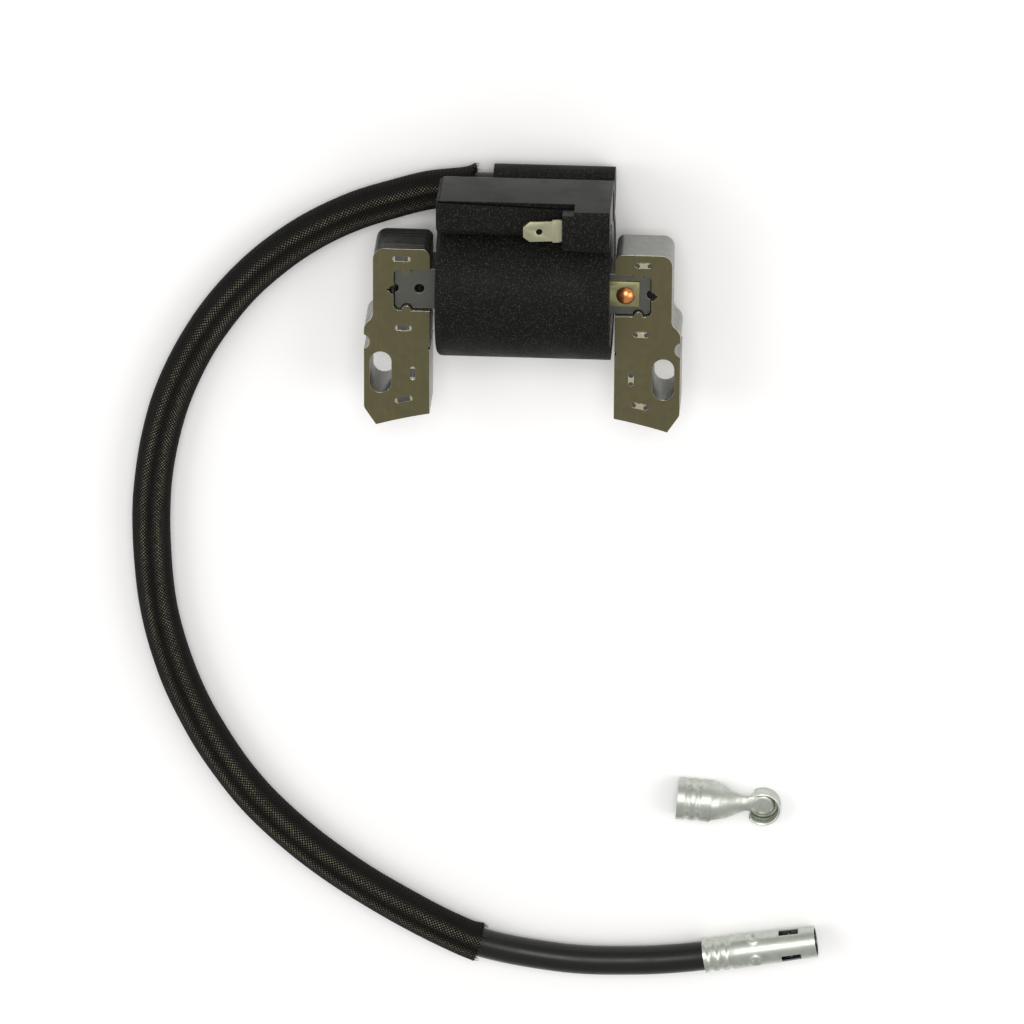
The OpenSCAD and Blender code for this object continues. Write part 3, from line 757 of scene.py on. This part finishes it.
class COIL_OT_case(Operator):
    """Make the moulded case with its grain, smooth faces and rounded edges, and the resin in it"""
    bl_idname = "coil.case"
    bl_label = "Case"

    def round_end(self, case, start, radius):
        """In edit mode, rounds the outer edge of the closed end. The tunnel and outlet stay."""
        for k in range(1, 6):
            bpy.ops.mesh.select_all(action="SELECT")
            along = radius * (1 - math.cos(math.radians(18 * k)))
            bpy.ops.mesh.bisect(plane_co=(start + along, 0, 0),
                                plane_no=(1, 0, 0), threshold=MERGE_PLANE)
        shape = bmesh.from_edit_mesh(case.data)
        shape.normal_update()
        moves = []
        for vert in shape.verts:
            along = vert.co.x - start
            tunnel = abs(vert.co.y) < 5.7 * MM and abs(vert.co.z - CORE_Z) < 5.7 * MM
            outlet = math.hypot(vert.co.y - 19.85 * MM, vert.co.z - 6.3 * MM) < 5.3 * MM
            outward = Vector((0, vert.normal.y, vert.normal.z))
            if along > radius * 0.999 or tunnel or outlet or outward.length < 0.1:
                continue
            drop = radius - math.sqrt(radius ** 2 - (radius - along) ** 2)
            moves.append((vert, outward.normalized() * drop))
        for vert, move in moves:
            vert.co -= move
        bmesh.update_edit_mesh(case.data)

    def cut_groove(self, case, low, high):
        """Cuts the tapered groove behind the smooth end face, up to the boss."""
        pick_none()
        bpy.ops.mesh.primitive_cube_add(size=1)
        cutter = bpy.context.object
        top = high.z - 5 * MM
        for vert in cutter.data.vertices:
            x, wide = (low.x - 1 * MM, 0.2 * MM) if vert.co.x < 0 else (12.45 * MM, 1.35 * MM)
            y = high.y - 0.4 * MM - (wide if vert.co.y < 0 else 0)
            vert.co = (x, y, top - 0.8 * MM if vert.co.z < 0 else top + 1 * MM)
        pick(case)
        cut = case.modifiers.new("Groove", "BOOLEAN")
        cut.operation, cut.solver, cut.object = "DIFFERENCE", "EXACT", cutter
        bpy.ops.object.modifier_apply(modifier=cut.name)
        bpy.data.objects.remove(cutter)

    def execute(self, context):
        sizes = context.scene.coil_sizes
        low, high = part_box("case")
        case = cad_copy("case", "case_shell")
        dress(case, MATERIALS["case"], MATERIALS["case_smooth"])
        edit(case)
        self.round_end(case, low.x, sizes.case_end)
        done()
        bevel(case, sizes.case_edge, 3, 34)
        self.cut_groove(case, low, high)
        for face in case.data.polygons:
            n, c = face.normal, face.center
            end_face = n.y > 0.92 and c.y > high.y - 1.2 * MM and c.z > 10 * MM
            face.material_index = 1 if end_face or n.x > 0.9 else 0
        smooth(case, 32)
        settle(case, BODY, "case_plastic", "case")

        resin = cad_copy("potting", "potting_resin")
        dress(resin, MATERIALS["resin"])
        smooth(resin, 30)
        settle(resin, BODY, "epoxy", "potting")
        return {"FINISHED"}


class COIL_OT_core(Operator):
    """Make both legs and the core bar as stacks of separate laminations"""
    bl_idname = "coil.core"
    bl_label = "Laminated core"

    def slab(self, source, name, z0, z1):
        obj = source.copy()
        obj.data = source.data.copy()
        obj.name = name
        bpy.context.scene.collection.objects.link(obj)
        edit(obj)
        for height, normal in ((z0, (0, 0, -1)), (z1, (0, 0, 1))):
            if height is None:
                continue
            bpy.ops.mesh.select_all(action="SELECT")
            bpy.ops.mesh.bisect(plane_co=(0, 0, height), plane_no=normal, use_fill=True,
                                clear_outer=True, threshold=MERGE_PLANE)
        bpy.ops.mesh.select_all(action="SELECT")
        bpy.ops.mesh.dissolve_limited(angle_limit=math.radians(0.6))
        done()
        return obj

    def stack(self, node, name, low, high, plates, materials, sizes):
        """Plates from low to high. What stands proud of either end stays on the end plate."""
        source = cad_copy(node, name + "_source")
        pitch = (high - low) / plates
        gap = sizes.plate_gap / 2
        rng = random.Random(name)
        made = []
        for i in range(plates):
            z0 = None if i == 0 else low + i * pitch + gap
            z1 = None if i == plates - 1 else low + (i + 1) * pitch - gap
            if 1 < i < plates - 1:
                obj = made[1].copy()
                obj.data = made[1].data.copy()
                bpy.context.scene.collection.objects.link(obj)
                shift = Vector((rng.uniform(-1, 1), rng.uniform(-1, 1), 0)) * 0.018 * MM
                obj.data.transform(Matrix.Translation(shift + Vector((0, 0, (i - 1) * pitch))))
                made.append(obj)
                continue
            obj = self.slab(source, f"{name}_{i}", z0, z1)
            dress(obj, *materials)
            outer = (lambda z: z < low + 0.1 * MM) if i == 0 else (lambda z: z > high - 0.1 * MM)
            if i in (0, plates - 1):
                edit(obj)
                # painted highlight: the outer edges of the end plates are bevelled with the bright
                # edge colour
                select(obj, "edges", lambda e: sharp(e, 50) and outer(middle(e).z))
                bpy.ops.mesh.bevel(offset=sizes.face_edge, segments=2, profile=0.5,
                                   clamp_overlap=True, material=1)
                select(obj, "edges", lambda e: sharp(e, 50) and not outer(middle(e).z)
                       and abs(e.verts[0].co.z - e.verts[1].co.z) < 1e-6
                       and low < middle(e).z < high)
                bpy.ops.mesh.bevel(offset=sizes.plate_edge, segments=1, clamp_overlap=True)
                done()
            else:
                bevel(obj, sizes.plate_edge, 1, 50)
            made.append(obj)
        bpy.data.objects.remove(source)
        obj = joined(name, made)
        for face in obj.data.polygons:
            inner = low + 0.9 * pitch < face.center.z < high - 0.9 * pitch
            if inner or abs(face.normal.z) < 0.3:
                face.material_index = 2
            # Upward faces off the top face: those above it or less than 0.25 mm below take the
            # bright edge colour, a painted highlight; deeper floors take the dark spring steel,
            # painted shade.
            elif face.normal.z > 0.9 and abs(face.center.z - high) > 0.1 * MM:
                face.material_index = 1 if face.center.z > high - 0.25 * MM else 3
        smooth(obj, 20)
        return obj

    def execute(self, context):
        sizes = context.scene.coil_sizes
        bar_low, bar_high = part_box("core_bar")
        left_low, left_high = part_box("left_leg")
        right_low, right_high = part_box("right_leg")
        boss = 0.4 * MM
        for node, low, high, slot in (
                ("left_leg", left_low.z + boss, left_high.z, "leg_steel"),
                ("right_leg", right_low.z, right_high.z - boss, "leg_steel")):
            leg = self.stack(node, node + "_plates", low, high, sizes.leg_plates,
                             (MATERIALS["plating"], MATERIALS["edge"], MATERIALS["cut"],
                              MATERIALS["spring"]), sizes)
            # painted reflection: the left leg's +Y end face takes the dark spring steel in place of
            # the dark sleeve reflected in it
            for face in leg.data.polygons:
                if node == "left_leg" and face.normal.y > 0.8 and face.center.y > left_high.y - MM:
                    face.material_index = 3
            settle(leg, BODY, slot, node)
        bar = self.stack("core_bar", "core_bar_plates", bar_low.z, bar_high.z, sizes.bar_plates,
                         [MATERIALS["bar"]] * 4, sizes)
        settle(bar, BODY, "bar_steel", "core_bar")
        return {"FINISHED"}


class COIL_OT_tabs(Operator):
    """Make the stop blade, the ground tab and its rivet"""
    bl_idname = "coil.tabs"
    bl_label = "Tabs and rivet"

    def execute(self, context):
        for node, name, edge, material, slot in (
                ("stop_tab", "stop_blade", 0.12, "tinned", "tinned_brass"),
                ("ground_tab", "ground_strip", 0.14, "strip", "tinned_brass"),
                ("ground_rivet", "rivet_head", 0.10, "copper", "copper")):
            piece = cad_copy(node, name)
            bevel(piece, edge * MM, 2, 40)
            dress(piece, MATERIALS[material])
            smooth(piece, 40)
            settle(piece, BODY, slot, node)
        return {"FINISHED"}


def rolled(name, long_steps, cross_steps, place, keep=None):
    """A sheet made from a grid: place(s, t) gives the point for s along and t across, both 0 to 1,
    and keep(s, t) says which faces stay."""
    pick_none()
    bpy.ops.mesh.primitive_grid_add(x_subdivisions=long_steps, y_subdivisions=cross_steps, size=1)
    obj = bpy.context.object
    obj.name = name
    if keep:
        edit(obj)
        cut = select(obj, "faces", lambda f: not keep(f.calc_center_median().x + 0.5,
                                                      f.calc_center_median().y + 0.5))
        if cut:
            bpy.ops.mesh.delete(type="FACE")
        done()
    for vert in obj.data.vertices:
        vert.co = place(vert.co.x + 0.5, vert.co.y + 0.5)
    return obj


def thicken(obj, thickness):
    """Gives a sheet its wall, on the side its faces point away from."""
    pick(obj)
    wall = obj.modifiers.new("Wall", "SOLIDIFY")
    wall.thickness, wall.offset = thickness, -1
    wall.use_even_offset = False
    bpy.ops.object.modifier_apply(modifier=wall.name)


def set_down(obj, at, turn):
    obj.data.transform(Matrix.Translation(at) @ Matrix.Rotation(turn, 4, "Z"))


class COIL_OT_plug_terminal(Operator):
    bl_idname = "coil.plug_terminal"
    bl_label = "Plug terminal"

    def execute(self, context):
        sizes = context.scene.coil_sizes
        total, lead_r = 27.3, sizes.lead_diameter / 2 / MM
        rng = random.Random(3)
        teeth = [[rng.uniform(0.88, 1.08) for _ in range(3)] for _ in range(3)]

        def radius(u, angle):
            r = lead_r + 0.6 - 0.35 * min(1.0, max(0.0, (u - 8) / 16))
            for k, at in enumerate((1.6, 3.9, 6.2)):
                skew = 0.12 * math.cos(3 * angle + k)
                depth = 0.42 * teeth[k][int(abs(angle)) % 3]
                r -= depth * math.exp(-((u - at - skew) / 0.55) ** 2)
            r += 0.10 * math.exp(-u / 0.5)
            for side in (-72, 24):
                gap = math.hypot(u - 12.5, (angle - math.radians(side)) * lead_r)
                rim, dent = math.exp(-((gap - 1.2) / 0.42) ** 2), math.exp(-(gap / 0.6) ** 2)
                r += 0.26 * rim - 0.36 * dent
            return r * MM

        def place(s, t):
            u, angle = s * total, (0.5 - t) * math.radians(357)
            r = radius(u, angle)
            return Vector((u * MM, -r * math.sin(angle), r * math.cos(angle)))

        def keep(s, t):
            u, angle = s * total, (0.5 - t) * 357
            return not (total - 8.5 < u < total - 3.9
                        and any(abs(angle - side) < 18 for side in (-84, 36, 156)))
        shell = rolled("plug_terminal_shell", 150, 108, place, keep)
        thicken(shell, sizes.sheet)
        dress(shell, MATERIALS["zinc"], MATERIALS["spring"])
        bevel(shell, 0.07 * MM, 2, 60)
        # painted shade: faces inside the shell and the walls of the windows take the dark spring
        # steel
        for face in shell.data.polygons:
            out = Vector((0, face.center.y, face.center.z)).normalized().dot(face.normal)
            in_window = total - 8.6 < face.center.x / MM < total - 3.8
            face.material_index = 1 if out < -0.3 or (in_window and out < 0.5) else 0
        set_down(shell, PLUG_AT, PLUG_TURN)
        smooth(shell, 50)
        settle(shell, BODY, "zinc_plate", "plug_terminal")

        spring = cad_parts["plug_terminal_spring"]
        dress(spring, MATERIALS["spring"])
        line = evenly(curve_through(ROUTE, 12), 2.2 * MM)
        line_length(line)
        return {"FINISHED"}


class COIL_OT_spare_terminal(Operator):
    """Make the loose spare terminal: open crimp, neck, cap and ring clip"""
    bl_idname = "coil.spare_terminal"
    bl_label = "Spare terminal"

    # along, radius of the curve, reach of the +Y edge and of the -Y edge in degrees, top height
    STATIONS = (
        (-20.7, 5.10, 106, 106, 6.85), (-17.0, 5.10, 106, 106, 6.85),
        (-12.75, 5.10, 106, 106, 6.85),
        (-12.45, 5.08, 102, 42, 6.82), (-10.6, 4.85, 84, 42, 6.05), (-8.6, 4.40, 62, 50, 4.80),
        (-6.6, 3.90, 46, 42, 3.45), (-5.0, 3.50, 35, 33, 2.50), (-3.8, 3.45, 30, 29, 1.98),
        (-2.6, 4.60, 26, 26, 1.70), (-1.6, 9.0, 12, 12, 1.62),
    )

    def at(self, u):
        rows = self.STATIONS
        for a, b in zip(rows, rows[1:]):
            if u <= b[0]:
                t = (u - a[0]) / (b[0] - a[0])
                return [x + (y - x) * t for x, y in zip(a, b)]
        return list(rows[-1])

    def execute(self, context):
        sizes = context.scene.coil_sizes
        start, stop = self.STATIONS[0][0], self.STATIONS[-1][0]

        def place(s, t):
            u = start + (stop - start) * s
            _, r, plus, minus, top = self.at(u)
            angle = math.radians(-minus + (plus + minus) * t)
            bands = sum(math.exp(-((u - at) / 0.42) ** 2) for at in (-18.2, -15.6))
            r -= 0.26 * bands
            bulge = 0.07 * math.exp(-((u + 16.9) / 0.5) ** 2)
            for at in (-18.2, -15.6):
                for side in (-20, 76):
                    gap = math.hypot(u - at, (angle - math.radians(side)) * r)
                    bulge += 0.15 * math.exp(-((gap - 0.75) / 0.28) ** 2)
            r += bulge
            middle_z = top - self.at(u)[1]
            return Vector((u, r * math.sin(angle), middle_z + r * math.cos(angle))) * MM
        shell = rolled("spare_shell", 130, 60, place)
        thicken(shell, sizes.sheet)
        bevel(shell, 0.06 * MM, 2, 60)

        # button: a pressed crown on a flat flange, inside the ring clip
        profile = [(0.0, 1.62), (1.7, 1.64), (2.35, 1.56), (2.66, 1.32), (2.78, 0.98), (2.92, 0.76),
                   (3.48, 0.70), (3.55, 0.62), (3.55, 0.28), (3.48, 0.20), (2.60, 0.20),
                   (2.46, 0.78), (2.22, 1.10), (1.7, 1.20), (0.0, 1.20)]
        cap = lathe("spare_cap", profile, 64)
        ring = lathe("spare_ring", [(3.64, 0.16), (3.82, 0.03), (4.10, 0.03), (4.21, 0.30),
                                    (4.23, 1.6), (4.21, 3.5), (4.12, 3.82), (3.92, 3.90),
                                    (3.72, 3.80), (3.64, 3.5)], 96, closed=True, opening=98,
                     facing=173)
        spare = joined("spare_terminal_shell", [shell, cap])
        for obj, node, slot in ((spare, "spare_terminal", "zinc_plate"),
                                (ring, "spare_terminal_ring", "spring_steel")):
            set_down(obj, SPARE_AT, SPARE_TURN)
            dress(obj, MATERIALS["zinc"])
            smooth(obj, 45)
            settle(obj, SPARE, slot, node)
        return {"FINISHED"}


def lathe(name, profile, steps, closed=False, opening=0, facing=180):
    """Turns a profile of (radius, height) in millimetres about Z. An opening in degrees is left
    round the facing angle, with its two ends closed."""
    shape = bmesh.new()
    verts = [shape.verts.new((r * MM, 0, z * MM)) for r, z in profile]
    edges = [shape.edges.new(pair) for pair in zip(verts, verts[1:])]
    if closed:
        edges.append(shape.edges.new((verts[-1], verts[0])))
    mesh = bpy.data.meshes.new(name)
    shape.to_mesh(mesh)
    shape.free()
    obj = placed(name, mesh)
    obj.data.transform(Matrix.Rotation(math.radians(facing - opening / 2), 4, "Z"))
    edit(obj)
    bpy.ops.mesh.select_all(action="SELECT")
    bpy.ops.mesh.spin(steps=steps, angle=math.radians(360 - opening), center=(0, 0, 0),
                      axis=(0, 0, 1))
    bpy.ops.mesh.select_all(action="SELECT")
    bpy.ops.mesh.remove_doubles(threshold=1e-6)
    if opening:
        bpy.ops.mesh.select_mode(type="EDGE")
        bpy.ops.mesh.select_all(action="DESELECT")
        bpy.ops.mesh.select_non_manifold()
        bpy.ops.mesh.edge_face_add()
        bpy.ops.mesh.select_all(action="SELECT")
    bpy.ops.mesh.normals_make_consistent(inside=False)
    done()
    return obj


class COIL_OT_inner(Operator):
    """Give the pieces inside the case their finishes"""
    bl_idname = "coil.inner"
    bl_label = "Inner pieces"

    FINISHES = {
        "primary_bobbin": "bobbin", "secondary_bobbin": "bobbin", "primary_winding": "primary",
        "secondary_winding": "secondary", "layer_insulation": "film", "circuit_board": "board",
        "power_transistor": "chip", "control_chip": "chip", "base_resistor": "resistor",
        "ground_wire": "green", "primary_wire": "enamel", "ht_wire": "enamel",
        "ht_contact_pin": "tinned", "lead_conductor": "copper",
    }

    def execute(self, context):
        for node, finish in self.FINISHES.items():
            dress(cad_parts[node], MATERIALS[finish])
        return {"FINISHED"}


STEPS = (COIL_OT_stage, COIL_OT_lead, COIL_OT_plug_terminal, COIL_OT_case, COIL_OT_core,
         COIL_OT_tabs, COIL_OT_spare_terminal, COIL_OT_inner)


class COIL_PT_panel(Panel):
    """Lists the steps that build the coil, and its settings"""
    bl_idname = "COIL_PT_panel"
    bl_label = "Ignition coil"
    bl_space_type = "VIEW_3D"
    bl_region_type = "UI"
    bl_category = "Coil"

    def draw(self, context):
        for step in STEPS:
            self.layout.operator(step.bl_idname)
        for settings in (context.scene.coil_sizes, context.scene.coil_colours,
                         context.scene.coil_stage):
            for name in settings.bl_rna.properties.keys():
                if name not in ("rna_type", "name"):
                    self.layout.prop(settings, name)


CLASSES = (CoilSizes, CoilColours, CoilStage, *STEPS, COIL_PT_panel)


def register():
    for cls in CLASSES:
        bpy.utils.register_class(cls)
    bpy.types.Scene.coil_sizes = PointerProperty(type=CoilSizes)
    bpy.types.Scene.coil_colours = PointerProperty(type=CoilColours)
    bpy.types.Scene.coil_stage = PointerProperty(type=CoilStage)


def unregister():
    del bpy.types.Scene.coil_stage
    del bpy.types.Scene.coil_colours
    del bpy.types.Scene.coil_sizes
    for cls in reversed(CLASSES):
        bpy.utils.unregister_class(cls)


def main():
    register()
    MATERIALS.update(make_materials(bpy.context.scene.coil_colours))
    for step in STEPS:
        area, name = step.bl_idname.split(".")
        getattr(getattr(bpy.ops, area), name)()


if __name__ == "__main__":
    main()
